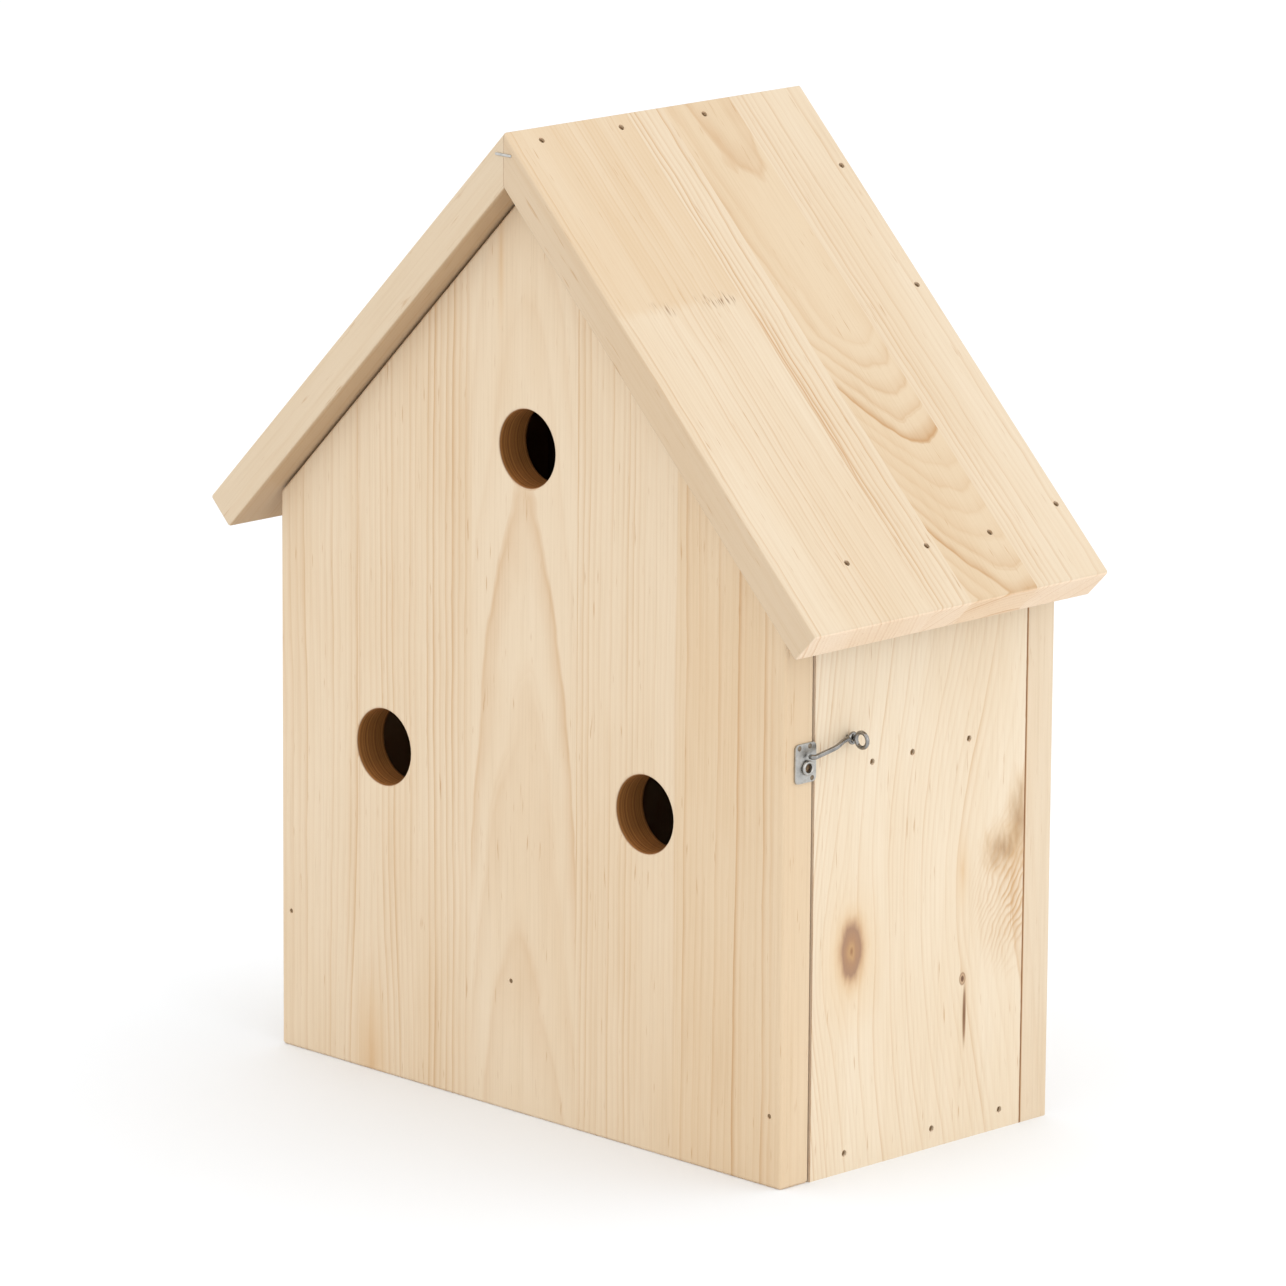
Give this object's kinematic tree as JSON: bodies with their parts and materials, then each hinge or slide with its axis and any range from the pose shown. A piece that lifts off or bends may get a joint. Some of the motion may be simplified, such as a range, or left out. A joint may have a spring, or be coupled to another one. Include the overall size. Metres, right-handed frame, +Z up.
{
  "type": "birdhouse",
  "caption": "Gabled pine birdhouse with round entrances, separate nest chambers and a lift-off front held by wire hooks.",
  "frame": {"origin": "centre of the base, between the side faces and between the front and back faces", "axes": "+Z up, front facing -Y, +X to the right when facing the front"},
  "size_m": [0.3942, 0.1907, 0.4593],
  "materials": {
    "front_wood": "planed pine, straight vertical grain, unfinished",
    "side_wood": "planed pine, pale, one knot",
    "roof_wood": "planed pine, grain down the slope",
    "back_wood": "planed pine",
    "inner_wood": "planed pine, a little darker in the shade",
    "nail_steel": "dull, lightly tarnished steel",
    "bright_wire": "bright staple wire",
    "latch_plate_steel": "dull galvanised steel sheet",
    "hook_wire_steel": "dull galvanised steel wire"
  },
  "bodies": {
    "house": {"back_panel": "back_wood", "back_panel_nails": "nail_steel", "divider_base_nails": "nail_steel", "divider_top_nails": "nail_steel", "floor_board": "inner_wood", "left_floor_nails": "nail_steel", "left_locating_pin": "nail_steel", "left_roof_back_nails": "nail_steel", "left_roof_board": "roof_wood", "left_roof_eave_nails": "nail_steel", "left_screw_eye": "hook_wire_steel", "left_shelf_nails": "nail_steel", "left_side_panel": "side_wood", "lower_divider": "inner_wood", "middle_locating_pin": "nail_steel", "middle_shelf": "inner_wood", "ridge_nails": "nail_steel", "ridge_staple": "bright_wire", "right_floor_nails": "nail_steel", "right_locating_pin": "nail_steel", "right_roof_back_nails": "nail_steel", "right_roof_board": "roof_wood", "right_roof_eave_nails": "nail_steel", "right_screw_eye": "hook_wire_steel", "right_shelf_nails": "nail_steel", "right_side_panel": "side_wood"},
    "front": {"front_panel": "front_wood", "right_latch_plate": "latch_plate_steel", "right_keeper_eyelet": "latch_plate_steel", "right_plate_tacks": "nail_steel", "left_latch_plate": "latch_plate_steel", "left_keeper_eyelet": "latch_plate_steel", "left_plate_tacks": "nail_steel"},
    "right_hook": {"right_hook": "hook_wire_steel"},
    "left_hook": {"left_hook": "hook_wire_steel"}
  },
  "joints": [
    {"name": "front_lift_off", "type": "slide", "parent": "house", "child": "front", "axis": [0, -1, 0], "range_m": [0, 0.09]},
    {"name": "right_hook_swing", "type": "hinge", "parent": "house", "child": "right_hook", "pos_m": [0.1684, -0.0479, 0.2023], "axis": [-1, 0, 0], "range_deg": [0, 130]},
    {"name": "left_hook_swing", "type": "hinge", "parent": "house", "child": "left_hook", "pos_m": [-0.1684, -0.0479, 0.2023], "axis": [-1, 0, 0], "range_deg": [0, 130]}
  ]
}
